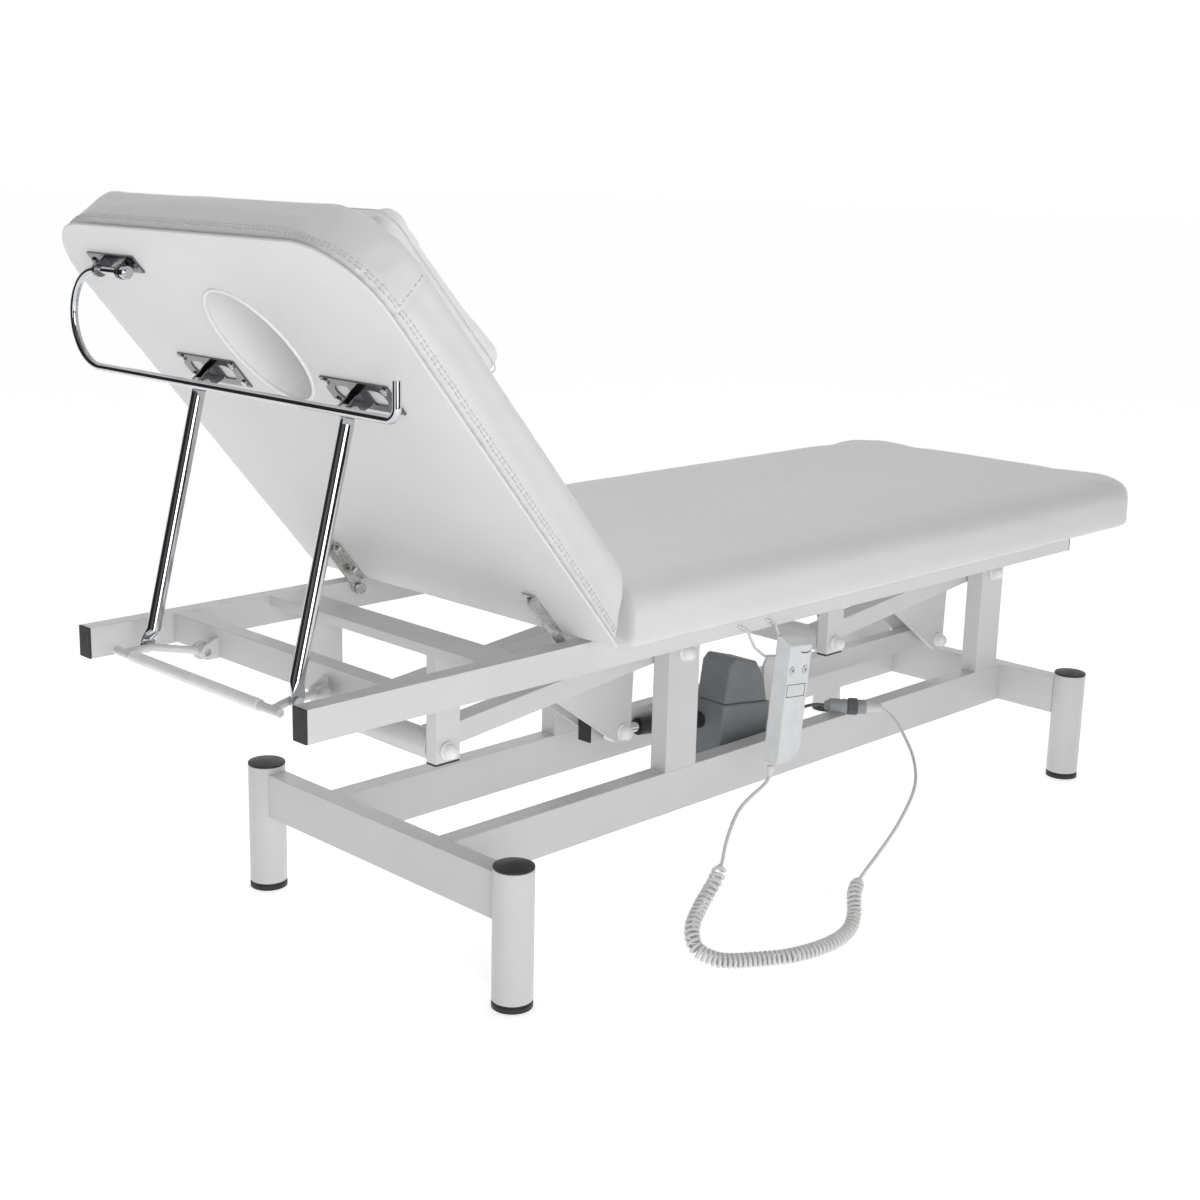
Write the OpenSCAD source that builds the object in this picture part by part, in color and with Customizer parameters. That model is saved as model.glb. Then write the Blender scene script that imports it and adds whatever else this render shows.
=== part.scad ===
// Electric facial treatment bed: a lifting base, a padded seat, a tilting backrest with
// a face hole and two struts, a paper-roll bar, and a corded hand control.
// X runs from the head end (-X) to the foot end (+X). The origin is on the floor, under
// the middle of the footprint. The bed is drawn at its lowest, with the backrest raised.

/* [Base] */
// Height of the four foot columns
foot_height = 195; // [185:1:215]
// Diameter of a foot column
foot_diameter = 54; // [48:1:60]
// Distance between the foot columns, across the bed
foot_spacing_y = 530; // [480:5:560]
// Height of the base tubes
base_tube_h = 65; // [55:1:70]
// Width of the base tubes
base_tube_w = 30; // [25:1:32]

/* [Lift] */
// Height of the fixed lift pivots above the floor
pivot_z = 357; // [350:1:360]
// Side of the square tube of the lift arms
arm_size = 30; // [24:1:32]
// Diameter of the round lift tubes
lift_tube_d = 38; // [34:1:42]

/* [Bed frame] */
// Width of the rectangular side rails
rail_w = 25; // [20:1:28]
// Height of the rectangular side rails
rail_h = 41; // [34:1:41]
// Thickness of the cushion boards
board_t = 12; // [9:1:15]

/* [Upholstery] */
// Width of the bed over the seat cushion
bed_width = 640; // [600:5:660]
// Thickness of the seat cushion above its board
seat_foam = 69; // [50:1:90]
// Thickness of the backrest cushion above its board
back_foam = 68; // [50:1:80]
// Length of the neck pillow along the backrest
pillow_length = 250; // [200:1:265]
// Thickness of the neck pillow
pillow_height = 49; // [30:1:70]

/* [Backrest] */
// Angle of the backrest above the seat, as drawn
recline = 49.8; // [45:0.1:50]
// Half length of the face hole, along the backrest
face_hole_u = 91; // [70:1:100]
// Half width of the face hole, across the backrest
face_hole_y = 74; // [60:1:85]
// Diameter of the backrest struts
strut_d = 18; // [14:1:20]

/* [Hand control] */
// Width of the hand control
handset_w = 50; // [40:1:60]
// Depth of the hand control
handset_t = 26; // [20:1:28]
// Diameter of the coiled part of the cord
coil_d = 22; // [16:1:22]

/* [Hidden] */
$fn = 64;

// The roll bar sticks out on one side, so the bed's centreline lies beside the origin.
mid_y = 28;

// Base
base_z = foot_height - 81;
base_top = base_z + base_tube_h;
rail_y = 102;
head_rail_x = -598;
foot_rail_x = 735;
column_x = [-584, 750];
column_y = foot_spacing_y / 2;
column_r = foot_diameter / 2;
foot_cap_t = 7;
floor_foot_h = 10;
post_w = 66;
post_top = 385;
crossbar_x = 150;
crossbar_top = base_z + 40;

// Lift: the fixed pivots, and the other pivots measured from them
pivot_x = [-127, 687];
arm_dx = -455;
arm_dz = -49;
lever_dx = -47;
lever_dz = -130;
arm_y = 69;
tube_half = 99;
bed_tube_half = 111;
plate_y = [-56, 0];
plate_t = 6;
tip_r = 19;
brace_r = 12.5;
brace_at = [-208, -20];
bush_l = 22;
bolt_r = 8;
run_gap = 0.05;
open_gap = 0.4;
link_y = -26;
link_w = 25;
link_h = 35;
link_x = [-209, 662];
lever_z = pivot_z + lever_dz;
bed_pin_z = pivot_z + arm_dz;

// Actuator, on its own axis from the rear pin to the lever pin
motor_pin = [165, 183];
drive_y = -40;
drive_pin_r = 6;
lever_pin = [pivot_x[0] + lever_dx, lever_z];
drive_len = norm(lever_pin - motor_pin);
drive_tilt = atan2(lever_pin[1] - motor_pin[1], motor_pin[0] - lever_pin[0]);
rod_r = 8;
cylinder_r = 13;
cylinder_from = 150;
cylinder_to = 292;
eye_r = 19;
eye_slack = 3.3;

// Bed frame
frame_top = 450;
frame_z = frame_top - rail_h;
frame_half = 245;
frame_x = [-884, 745];
cap_t = 3;
cap_plug = 5;
wall = 2;
hang_y = 114;
hang_w = 19;
hang_l = 41;
hang_x = [-580, 232];
hang_z = 292;
flat_bar_h = 14;
flat_bar_w = 56;
seat_x = [-431, 887];
seat_corner = 95;
board_inset = 8;
lever_pivot = [-775, 421];

// Backrest, measured along it (u), across it (y) and square to it (v) from its hinge
hinge = [-455, 440];
back_v = 10.5;
back_u = [14, 672];
back_half = 315;
back_corner = 100;
seat_gap = 22;
face_hole_at = 493;
strap_y = 190;
strap_u = [17, 91];
strut_y = 152;
strut_pin = [436.5, -17];
strut_plate_u = [414, 458];
strut_plate_w = 126;
small_pin_r = 4;
roll_pin = [613, -5.5];
roll_plate_y = [135, 240];
pillow_u = 380;
pillow_half = 265;

// Struts and prop lever
strut_foot = [-835, 431];
strut_foot_y = 161;
grip_at = [-870, 428];
grip_half = 138;
grip_rod_half = 178;
grip_rod_r = 5.5;

// Roll bar, hanging plumb from its pin
bar_r = 5;
bar_turn_y = 212.5;
bar_turn_r = 60;
bar_far_y = -356;
bar_corner_r = 15;
bar_leg = 27;

// Hand control, hanging on its hook
handset_at = [-44.5, -274, 295];
handset_lean = 6.2;
handset_half = 86;
button_x = 14.5;
button_z = 50;
button_r = 5.5;
button_out = 1.2;
button_deep = 3;
hook_y = -247.5;
hook_r = 2;

// Cord, from the strain relief to the connector and on to the gland
lead_r = 2.6;
lead_route = [
    [-79, -262, 190], [-92, -264, 181], [-131, -270, 172], [-161, -277, 164],
    [-186, -286, 152], [-212, -297, 132], [-232, -308, 110]
];
coil_route = [
    [-233, -308.6, 109], [-256, -317, 94], [-297, -328, 72], [-326, -340, 55],
    [-338, -355, 39], [-333, -368, 27], [-310, -387, 17], [-258, -412, 12],
    [-218, -432, 12], [-158, -442, 12], [-110, -438, 15], [-81, -427, 27],
    [-60, -410, 48], [-34, -399, 60]
];
base_lead_route = [
    [-34, -399, 60], [-10, -393, 67], [30, -384, 78], [116, -358, 97],
    [216, -314, 116], [270, -273, 138], [304, -228, 161], [315, -197, 181],
    [313, -176, 191]
];
plug_from = [313, -176, 193];
plug_to = [249, -98, 193];
plug_steps = [[0, 26, 6, 10], [26, 14, 12, 12], [40, 16, 14, 14],
    [56, 30, 12, 12], [86, 8, 10, 6]];
motor_lead_route = [
    [253.7, -103.7, 193], [244, -92, 193], [228, -84, 191], [205, -81, 187], [182, -80, 179],
    [168, -79, 168]
];
gland_at = [164, -79];

// ---- helpers ----

// Moves a piece from the bed's own centreline to the middle of the footprint.
module on_centre() {
    translate([0, mid_y, 0]) children();
}

// Repeats a piece on both sides of the centreline.
module both_sides() {
    children();
    mirror([0, 1, 0]) children();
}

// Draws in the backrest's frame: x along it, z out of its front face, y reversed.
module on_back() {
    translate([hinge[0], mid_y, hinge[1]]) rotate([0, -recline, 180]) children();
}

// Rectangular tube, open at both ends along one axis (0, 1 or 2).
module box_tube(size, axis) {
    hole = [for (i = [0 : 2]) i == axis ? size[i] + 2 : size[i] - 2 * wall];
    start = [for (i = [0 : 2]) i == axis ? -1 : wall];
    difference() {
        cube(size);
        translate(start) cube(hole);
    }
}

// Cylinder across the bed, from one y to another.
module cross_pin(x, z, y0, y1, r) {
    translate([x, y1, z]) rotate([90, 0, 0]) cylinder(h = y1 - y0, r = r);
}

// Flat shape in the x-z plane, extruded from y0 over a thickness.
module upright(y0, t) {
    translate([0, y0 + t, 0]) rotate([90, 0, 0]) linear_extrude(t) children();
}

// Plastic cap over a nut, pointing along +Z from its washer face.
module dome_cap(r, h) {
    ball_r = 0.85 * r;
    cylinder(h = 4, r = r);
    cylinder(h = h - ball_r, r = ball_r);
    translate([0, 0, h - ball_r]) intersection() {
        sphere(r = ball_r);
        translate([-r, -r, 0]) cube([2 * r, 2 * r, r]);
    }
}

// Bolt along y on the +Y side, from its inner tip to a capped nut on an outer face.
module capped_bolt(x, z, tip_y, face_y, cap_r, cap_h) {
    cross_pin(x, z, tip_y, face_y, bolt_r);
    translate([x, face_y, z]) rotate([-90, 0, 0]) dome_cap(cap_r, cap_h);
}

// Round rod from one point to another.
module rod_between(a, b, r) {
    d = b - a;
    translate(a) rotate([0, acos(d[2] / norm(d)), atan2(d[1], d[0])])
        cylinder(h = norm(d), r = r);
}

// Bent wire: rods between points, with a slightly fuller ball at each bend.
module bent_wire(points, r) {
    for (i = [0 : len(points) - 2]) rod_between(points[i], points[i + 1], r);
    for (i = [1 : len(points) - 2]) translate(points[i]) sphere(r = r + 0.05);
}

// A flat panel outline: a rectangle with its two +X corners rounded.
module panel_outline(x0, x1, half, r) {
    union() {
        translate([x0, -half]) square([x1 - x0 - r, 2 * half]);
        translate([x0, r - half]) square([x1 - x0, 2 * (half - r)]);
        for (side = [-1, 1]) translate([x1 - r, side * (half - r)]) circle(r = r, $fn = 96);
    }
}

// Smooth curve through the points of a route, resampled about every step.
function route_point(p, i, t) =
    let (a = p[max(i - 1, 0)], b = p[i], c = p[i + 1], d = p[min(i + 2, len(p) - 1)])
    0.5 * (2 * b + (c - a) * t + (2 * a - 5 * b + 4 * c - d) * t * t
        + (3 * b - a - 3 * c + d) * t * t * t);
function smooth_route(p, step) = [
    for (i = [0 : len(p) - 2])
        let (n = max(1, round(norm(p[i + 1] - p[i]) / step)))
            for (k = [0 : n - 1]) route_point(p, i, k / n),
    p[len(p) - 1]
];
function unit(v) = v / norm(v);

// Tube of one radius swept along a route.
module cord_tube(route, r, step, sides) {
    path = smooth_route(route, step);
    last = len(path) - 1;
    rings = [
        for (i = [0 : last])
            let (
                along = unit(path[min(i + 1, last)] - path[max(i - 1, 0)]),
                side = unit([-along[2], 0, along[0]]),
                up = cross(along, side)
            )
            for (k = [0 : sides - 1])
                let (a = 360 * k / sides)
                    path[i] + r * (cos(a) * side + sin(a) * up)
    ];
    walls = [
        for (i = [0 : last - 1], k = [0 : sides - 1])
            let (
                a = i * sides + k, b = i * sides + (k + 1) % sides,
                c = a + sides, d = b + sides
            )
            each [[a, c, b], [b, c, d]]
    ];
    first_end = [for (k = [0 : sides - 1]) k];
    last_end = [for (k = [sides - 1 : -1 : 0]) last * sides + k];
    translate([0, mid_y, 0])
        polyhedron(points = rings, faces = concat(walls, [first_end, last_end]));
}

// ---- base ----

module base_long_rails() {
    color("white") on_centre() both_sides()
        translate([head_rail_x + base_tube_w, rail_y, base_z])
            box_tube([foot_rail_x - head_rail_x - base_tube_w, 30, base_tube_h], 0);
}

module base_cross_rails() {
    color("white") on_centre() for (i = [0, 1]) difference() {
        translate([[head_rail_x, foot_rail_x][i], -column_y, base_z])
            box_tube([base_tube_w, 2 * column_y, base_tube_h], 1);
        for (side = [-1, 1]) translate([column_x[i], side * column_y, 0])
            cylinder(h = foot_height, r = column_r, $fn = 96);
    }
}

module foot_columns() {
    color("white") on_centre() for (x = column_x) both_sides()
        translate([x, column_y, floor_foot_h]) difference() {
            cylinder(h = foot_height - floor_foot_h - foot_cap_t, r = column_r, $fn = 96);
            translate([0, 0, -1]) cylinder(h = foot_height, r = column_r - wall, $fn = 96);
        }
}

// Domed disc over each column, with a plug inside the tube.
module foot_top_caps() {
    dome_r = 93;
    color("dimgray") on_centre() for (x = column_x) both_sides()
        translate([x, column_y, foot_height - foot_cap_t]) {
            intersection() {
                cylinder(h = foot_cap_t, r = column_r, $fn = 96);
                translate([0, 0, foot_cap_t - dome_r]) sphere(r = dome_r, $fn = 128);
            }
            translate([0, 0, -12]) cylinder(h = 12.5, r = column_r - wall - 0.2);
        }
}

// Levelling foot under each column: a pad, a narrow ring and a plug in the tube.
module floor_feet() {
    color("dimgray") on_centre() for (x = column_x) both_sides()
        translate([x, column_y, 0]) {
            cylinder(h = 7, r = column_r, $fn = 96);
            translate([0, 0, 7]) cylinder(h = floor_foot_h - 7, r = column_r - 1, $fn = 96);
            translate([0, 0, floor_foot_h]) cylinder(h = 15, r = column_r - wall - 0.2);
        }
}

module base_posts() {
    color("white") on_centre() for (x = pivot_x) both_sides() difference() {
        union() {
            translate([x - post_w / 2, rail_y, base_top])
                box_tube([post_w, 30, post_top - base_top], 2);
            translate([x - post_w / 2, rail_y, post_top - wall]) cube([post_w, 30, wall]);
        }
        cross_pin(x, pivot_z, rail_y - 1, rail_y + 31, bolt_r);
    }
}

module base_pivot_bolts() {
    color("white") on_centre() for (x = pivot_x) both_sides()
        capped_bolt(x, pivot_z, tube_half - bush_l - 1, rail_y + 30, 13, 19);
}

module actuator_crossbar() {
    color("white") on_centre() translate([crossbar_x, -rail_y, base_z])
        box_tube([30, 2 * rail_y, crossbar_top - base_z], 1);
}

// Two upright ears that hold the actuator's rear pin, the outer one taller.
module rear_bracket() {
    color("white") on_centre() for (ear = [[-60, 284], [-32, 232]]) difference() {
        upright(ear[0], 4) union() {
            translate([motor_pin[0] - 18, crossbar_top])
                square([36, ear[1] - 18 - crossbar_top]);
            translate([motor_pin[0], ear[1] - 18]) circle(r = 18);
        }
        cross_pin(motor_pin[0], motor_pin[1], -61, -27, drive_pin_r);
    }
}

module rear_bracket_bolt() {
    color("silver") on_centre() {
        cross_pin(motor_pin[0], motor_pin[1], -60, -28, drive_pin_r);
        for (y = [-66, -28]) cross_pin(motor_pin[0], motor_pin[1], y, y + 6, 9);
    }
}

// Gland where the motor lead goes into the crossbar.
module cable_gland() {
    color("dimgray") on_centre() translate([gland_at[0], gland_at[1], crossbar_top]) {
        cylinder(h = 4, r = 8);
        cylinder(h = 10, r = 5.5);
    }
}

// ---- lift frames ----

// Two square tubes from the fixed pivot tube to the bed pivot tube, coped to both.
module lift_arms(x) {
    length = norm([arm_dx, arm_dz]);
    slope = atan2(-arm_dz, -arm_dx);
    on_centre() translate([x, 0, pivot_z]) difference() {
        both_sides() rotate([0, -slope, 0])
            translate([-length, arm_y, -arm_size / 2])
                box_tube([length, arm_size, arm_size], 0);
        cross_pin(0, 0, -100, 100, lift_tube_d / 2, $fn = 96);
        cross_pin(arm_dx, arm_dz, -100, 100, lift_tube_d / 2, $fn = 96);
    }
}

// Round tube across the bed with a bush in each end.
module bushed_tube(x, z, half, gap) {
    translate([x, half, z]) rotate([90, 0, 0]) difference() {
        cylinder(h = 2 * half, r = lift_tube_d / 2, $fn = 96);
        translate([0, 0, bush_l]) cylinder(h = 2 * (half - bush_l), r = lift_tube_d / 2 - 3);
        translate([0, 0, -1]) cylinder(h = 2 * half + 2, r = bolt_r + gap);
    }
}

module lift_tubes(x, bed_gap) {
    on_centre() translate([x, 0, pivot_z]) {
        bushed_tube(0, 0, tube_half, run_gap);
        bushed_tube(arm_dx, arm_dz, bed_tube_half, bed_gap);
        difference() {
            cross_pin(brace_at[0], brace_at[1], -arm_y, arm_y, brace_r);
            cross_pin(brace_at[0], brace_at[1], -arm_y - 1, arm_y + 1, brace_r - wall);
        }
    }
}

// Pair of triangular plates, welded to the pivot tube and the brace.
module lever_plates(x) {
    slant = unit([-11, -15.5]);
    on_centre() translate([x, 0, pivot_z]) difference() {
        for (y = plate_y) upright(y, plate_t) {
            translate([lever_dx, lever_dz]) circle(r = tip_r);
            polygon([
                [-228, -18], [-222, -31], [lever_dx, lever_dz] + tip_r * slant,
                [lever_dx, lever_dz], [lever_dx + tip_r, lever_dz], [-28, -95],
                [-26, -40], [-12, -12], [-17, -4], [-40, -2]
            ]);
        }
        cross_pin(0, 0, -60, 10, lift_tube_d / 2, $fn = 96);
        cross_pin(brace_at[0], brace_at[1], -60, 10, brace_r);
        cross_pin(lever_dx, lever_dz, -60, 10, bolt_r);
    }
}

module lever_bolt(x) {
    on_centre() translate([x, 0, pivot_z]) mirror([0, 1, 0]) {
        cross_pin(lever_dx, lever_dz, -14, -plate_t, 12);
        capped_bolt(lever_dx, lever_dz, -plate_t, -plate_y[0], 13, 19);
    }
}

module head_lift_arms() {
    color("white") lift_arms(pivot_x[0]);
}

module head_lift_tubes() {
    color("gainsboro") lift_tubes(pivot_x[0], run_gap);
}

module head_lever_plates() {
    color("whitesmoke") lever_plates(pivot_x[0]);
}

module head_lever_bolt() {
    color("white") lever_bolt(pivot_x[0]);
}

module foot_lift_arms() {
    color("white") lift_arms(pivot_x[1]);
}

module foot_lift_tubes() {
    color("gainsboro") lift_tubes(pivot_x[1], open_gap);
}

module foot_lever_plates() {
    color("whitesmoke") lever_plates(pivot_x[1]);
}

module foot_lever_bolt() {
    color("white") lever_bolt(pivot_x[1]);
}

// Tube that joins the two levers, with a bush at each pin.
module link_tube() {
    color("white") on_centre() difference() {
        union() {
            translate([link_x[0], link_y, lever_z - link_h / 2])
                box_tube([link_x[1] - link_x[0], link_w, link_h], 0);
            for (x = pivot_x)
                cross_pin(x + lever_dx, lever_z, link_y, link_y + link_w, bolt_r + 5);
        }
        cross_pin(pivot_x[0] + lever_dx, lever_z, link_y - 1, 0, bolt_r + run_gap);
        cross_pin(pivot_x[1] + lever_dx, lever_z, link_y - 1, 0, bolt_r + open_gap);
    }
}

module end_cap(size, axis, face) {
    // A plate over the end of a box tube, with a plug that goes into it.
    plate = [for (i = [0 : 2]) i == axis ? cap_t : size[i]];
    plug = [for (i = [0 : 2]) i == axis ? cap_plug : size[i] - 2 * wall - 0.4];
    shift = [for (i = [0 : 2]) i == axis ? (face < 0 ? cap_t - 0.5 : 0.5 - cap_plug) : wall + 0.2];
    cube(plate);
    translate(shift) cube(plug);
}

module link_tube_caps() {
    size = [0, link_w, link_h];
    color("dimgray") on_centre() {
        translate([link_x[0] - cap_t, link_y, lever_z - link_h / 2]) end_cap(size, 0, -1);
        translate([link_x[1], link_y, lever_z - link_h / 2]) end_cap(size, 0, 1);
    }
}

// ---- actuator, drawn along -X from its rear pin ----

module on_drive() {
    translate([motor_pin[0], mid_y + drive_y, motor_pin[1]])
        rotate([0, drive_tilt, 0]) mirror([1, 0, 0]) children();
}

module actuator_gearbox() {
    color("lightgray") on_drive() difference() {
        union() {
            cross_pin(0, 0, -14, 6, 13);
            translate([0, -14, -13]) cube([44, 20, 26]);
            translate([38, -48, -62]) cube([cylinder_from - 38, 59, 96]);
        }
        cross_pin(0, 0, -15, 7, drive_pin_r + run_gap);
    }
}

// Upright motor cover on the gearbox, its rear top edge sloped.
module actuator_motor() {
    color("gray") on_drive() upright(-48, 59)
        polygon([[46, 34], [60, 74], [84, 100], [138, 108], [148, 96], [150, 34]]);
}

module actuator_cylinder() {
    color("dimgray") on_drive() rotate([0, 90, 0]) difference() {
        translate([0, 0, cylinder_from]) cylinder(h = cylinder_to - cylinder_from, r = cylinder_r);
        translate([0, 0, cylinder_from + 8])
            cylinder(h = cylinder_to - cylinder_from, r = rod_r + run_gap);
    }
}

// Rod with its eye. The eye is loose on the lever bolt, where the linkage is opened.
module actuator_rod() {
    color("silver") on_drive() difference() {
        union() {
            translate([cylinder_from + 12, 0, 0]) rotate([0, 90, 0])
                cylinder(h = drive_len - cylinder_from - 12, r = rod_r);
            cross_pin(drive_len, 0, -9, 9, eye_r);
        }
        cross_pin(drive_len, 0, -12, 12, bolt_r + eye_slack);
    }
}

// ---- bed frame ----

module bed_side_rails() {
    color("white") on_centre() both_sides() difference() {
        translate([frame_x[0] + cap_t, frame_half - rail_w, frame_z])
            box_tube([frame_x[1] - frame_x[0] - 2 * cap_t, rail_w, rail_h], 0);
        cross_pin(hinge[0], hinge[1], frame_half - rail_w - 1, frame_half - rail_w + 4, 5);
    }
}

module bed_rail_caps() {
    size = [0, rail_w, rail_h];
    color("dimgray") on_centre() both_sides() {
        translate([frame_x[0], frame_half - rail_w, frame_z]) end_cap(size, 0, -1);
        translate([frame_x[1] - cap_t, frame_half - rail_w, frame_z]) end_cap(size, 0, 1);
    }
}

// One tube at the head end and a flat tube over each pair of hanging posts.
module bed_cross_members() {
    inner = frame_half - rail_w;
    color("white") on_centre() {
        translate([-758, -inner, frame_top - 39]) box_tube([26, 2 * inner, 39], 1);
        for (x = [-604.5, 204])
            translate([x, -inner, frame_top - flat_bar_h])
                box_tube([flat_bar_w, 2 * inner, flat_bar_h], 1);
    }
}

module hanging_posts() {
    color("white") on_centre() for (i = [0, 1]) both_sides() difference() {
        translate([hang_x[i] - hang_l / 2, hang_y, hang_z])
            box_tube([hang_l, hang_w, frame_top - flat_bar_h - hang_z], 2);
        cross_pin(pivot_x[i] + arm_dx, bed_pin_z, hang_y - 1, hang_y + hang_w + 1, bolt_r);
    }
}

module hanging_post_caps() {
    color("dimgray") on_centre() for (x = hang_x) both_sides()
        translate([x - hang_l / 2, hang_y, hang_z - cap_t])
            end_cap([hang_l, hang_w, 0], 2, -1);
}

module bed_pivot_bolts() {
    color("white") on_centre() for (x = pivot_x) both_sides()
        capped_bolt(x + arm_dx, bed_pin_z, bed_tube_half - bush_l - 1,
            hang_y + hang_w, 12, 18);
}

// Ears on the head cross tube, beside the eyes of the prop lever.
module lever_ears() {
    color("white") on_centre() both_sides() upright(114, 5) difference() {
        union() {
            translate(lever_pivot) circle(r = 10);
            polygon([
                [lever_pivot[0], lever_pivot[1] - 10], [-758, lever_pivot[1] - 10],
                [-758, lever_pivot[1] + 18], [lever_pivot[0] - 3, lever_pivot[1] + 9.5]
            ]);
        }
        translate(lever_pivot) circle(r = 5);
    }
}

// Pin in each side rail, with a spacer, that carries a hinge strap.
module backrest_hinge_bolts() {
    color("silver") on_centre() both_sides() {
        cross_pin(hinge[0], hinge[1], 206, frame_half - rail_w + wall, 5);
        cross_pin(hinge[0], hinge[1], 204, 210, 8);
        cross_pin(hinge[0], hinge[1], 215, frame_half - rail_w, 8);
    }
}

module seat_board() {
    inset = board_inset;
    color("burlywood") on_centre() translate([0, 0, frame_top]) linear_extrude(board_t)
        panel_outline(seat_x[0] + inset, seat_x[1] - inset, bed_width / 2 - inset,
            seat_corner - inset);
}

module seat_cushion() {
    inset = board_inset;
    color("white") on_centre() translate([0, 0, frame_top]) difference() {
        linear_extrude(board_t + seat_foam)
            panel_outline(seat_x[0], seat_x[1], bed_width / 2, seat_corner);
        translate([0, 0, -1]) linear_extrude(board_t + 1)
            panel_outline(seat_x[0] + inset, seat_x[1] - inset, bed_width / 2 - inset,
                seat_corner - inset);
    }
}

// ---- backrest ----

// Oval through the backrest for the face.
module face_hole(grow) {
    sides = 60;
    translate([0, 0, back_v - 5]) linear_extrude(back_foam + board_t + 20)
        polygon([
            for (k = [0 : sides - 1])
                let (a = 360 * k / sides)
                    [face_hole_at + (face_hole_u + grow) * cos(a),
                        (face_hole_y + grow) * sin(a)]
        ]);
}

module back_board() {
    inset = board_inset;
    color("burlywood") on_back() difference() {
        translate([0, 0, back_v]) linear_extrude(board_t)
            panel_outline(back_u[0] + inset, back_u[1] - inset, back_half - inset,
                back_corner - inset);
        face_hole(inset);
    }
}

// Cushion wrapped over its board. Its foot is cut off plumb, where it meets the seat.
module back_cushion() {
    inset = board_inset;
    color("white") on_back() difference() {
        translate([0, 0, back_v]) linear_extrude(board_t + back_foam)
            panel_outline(back_u[0], back_u[1], back_half, back_corner);
        translate([0, 0, back_v - 1]) linear_extrude(board_t + 1) difference() {
            panel_outline(back_u[0] + inset, back_u[1] - inset, back_half - inset,
                back_corner - inset);
            hole_outline(inset);
        }
        face_hole(0);
        rotate([0, recline, 0]) translate([-seat_gap - 200, -400, -200])
            cube([200, 800, 400]);
    }
}

// The band of cover that lines the edge of the face hole, beside the board.
module hole_outline(inset) {
    sides = 60;
    polygon([
        for (k = [0 : sides - 1])
            let (a = 360 * k / sides)
                [face_hole_at + (face_hole_u + inset) * cos(a),
                    (face_hole_y + inset) * sin(a)]
    ]);
}

// Angle straps: a flange bolted to the back, and a web that turns on the hinge pin.
module hinge_straps() {
    t = 3;
    color("silver") on_back() both_sides() {
        difference() {
            translate([strap_u[0], strap_y, back_v - t])
                cube([strap_u[1] - strap_u[0], 24, t]);
            for (u = [34, 78]) translate([u, strap_y + 10, 0]) cylinder(h = 20, r = 4);
        }
        difference() {
            upright(strap_y + 21, t) {
                circle(r = 9);
                translate([0, -5]) square([strap_u[1], back_v - t + 5]);
                translate([0, 0]) square([strap_u[0], 9]);
            }
            cross_pin(0, 0, strap_y + 20, strap_y + 25, 5 + run_gap);
        }
    }
}

// Round-headed bolts through each hinge strap into the board.
module strap_bolts() {
    color("silver") on_back() both_sides() for (u = [34, 78])
        translate([u, strap_y + 10, 0]) {
            translate([0, 0, back_v - 3]) cylinder(h = 3, r = 4);
            translate([0, 0, back_v - 5]) cylinder(h = 2, r = 8);
            translate([0, 0, back_v - 8.5]) cylinder(h = 3.5, r = 5.5);
        }
}

// Plate with two windows, and two ears that hold the top of a strut.
module strut_brackets() {
    t = 2.5;
    u0 = strut_plate_u[0];
    w = strut_plate_u[1] - u0;
    color("gray") on_back() both_sides() {
        difference() {
            translate([u0, strut_y - strut_plate_w / 2, back_v - t]) cube([w, strut_plate_w, t]);
            for (side = [-1, 1]) {
                translate([u0 + 10, strut_y + side * 26 - 9, 0]) cube([w - 20, 18, 20]);
                translate([u0 + w / 2, strut_y + side * 35, 0]) cylinder(h = 20, r = w / 2 - 10);
                for (u = [7, w - 7])
                    translate([u0 + u, strut_y + side * 55, 0]) cylinder(h = 20, r = 2.5);
            }
        }
        difference() {
            for (y = [-9, 6]) upright(strut_y + y, 3) {
                translate(strut_pin) circle(r = 9);
                polygon([
                    [u0 + 8, back_v - t], strut_pin + [-9, 1], strut_pin + [9, -1],
                    [u0 + w - 12, back_v - t]
                ]);
            }
            cross_pin(strut_pin[0], strut_pin[1], strut_y - 20, strut_y + 20, small_pin_r);
        }
    }
}

module strut_bracket_screws() {
    color("silver") on_back() both_sides() for (side = [-1, 1], u = [7, 37])
        translate([strut_plate_u[0] + u, strut_y + side * 55, 0]) {
            translate([0, 0, back_v - 2.5]) cylinder(h = 2.5, r = 2.5);
            translate([0, 0, back_v - 5]) cylinder(h = 2.5, r = 5);
        }
}

module strut_pins() {
    color("silver") on_back() both_sides() {
        cross_pin(strut_pin[0], strut_pin[1], strut_y - 20, strut_y + 13, small_pin_r);
        cross_pin(strut_pin[0], strut_pin[1], strut_y - 14, strut_y - 9, 7);
        cross_pin(strut_pin[0], strut_pin[1], strut_y + 9, strut_y + 13, 7);
    }
}

// Plate near the top edge with two collars for the roll bar.
module roll_bracket() {
    t = 2.5;
    pin_u = roll_pin[0];
    color("gray") on_back() mirror([0, 1, 0]) difference() {
        union() {
            translate([pin_u - 13, roll_plate_y[0], back_v - t])
                cube([26, roll_plate_y[1] - roll_plate_y[0], t]);
            for (y = [151, 203]) {
                cross_pin(pin_u, roll_pin[1], y, y + 7, 9);
                translate([pin_u - 7, y + 1, roll_pin[1]]) cube([14, 5, back_v - roll_pin[1] - 1]);
            }
            for (y = [roll_plate_y[0] + 7, roll_plate_y[1] - 7])
                translate([pin_u, y, back_v - t - 2.5]) cylinder(h = 3, r = 5);
        }
        cross_pin(pin_u, roll_pin[1], 140, 220, bar_r + run_gap);
    }
}

module pillow() {
    top = back_v + board_t + back_foam;
    color("white") on_back() translate([pillow_u, -pillow_half, top + 0.5])
        cube([pillow_length, 2 * pillow_half, pillow_height]);
}

// ---- struts, prop lever and roll bar ----

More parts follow.
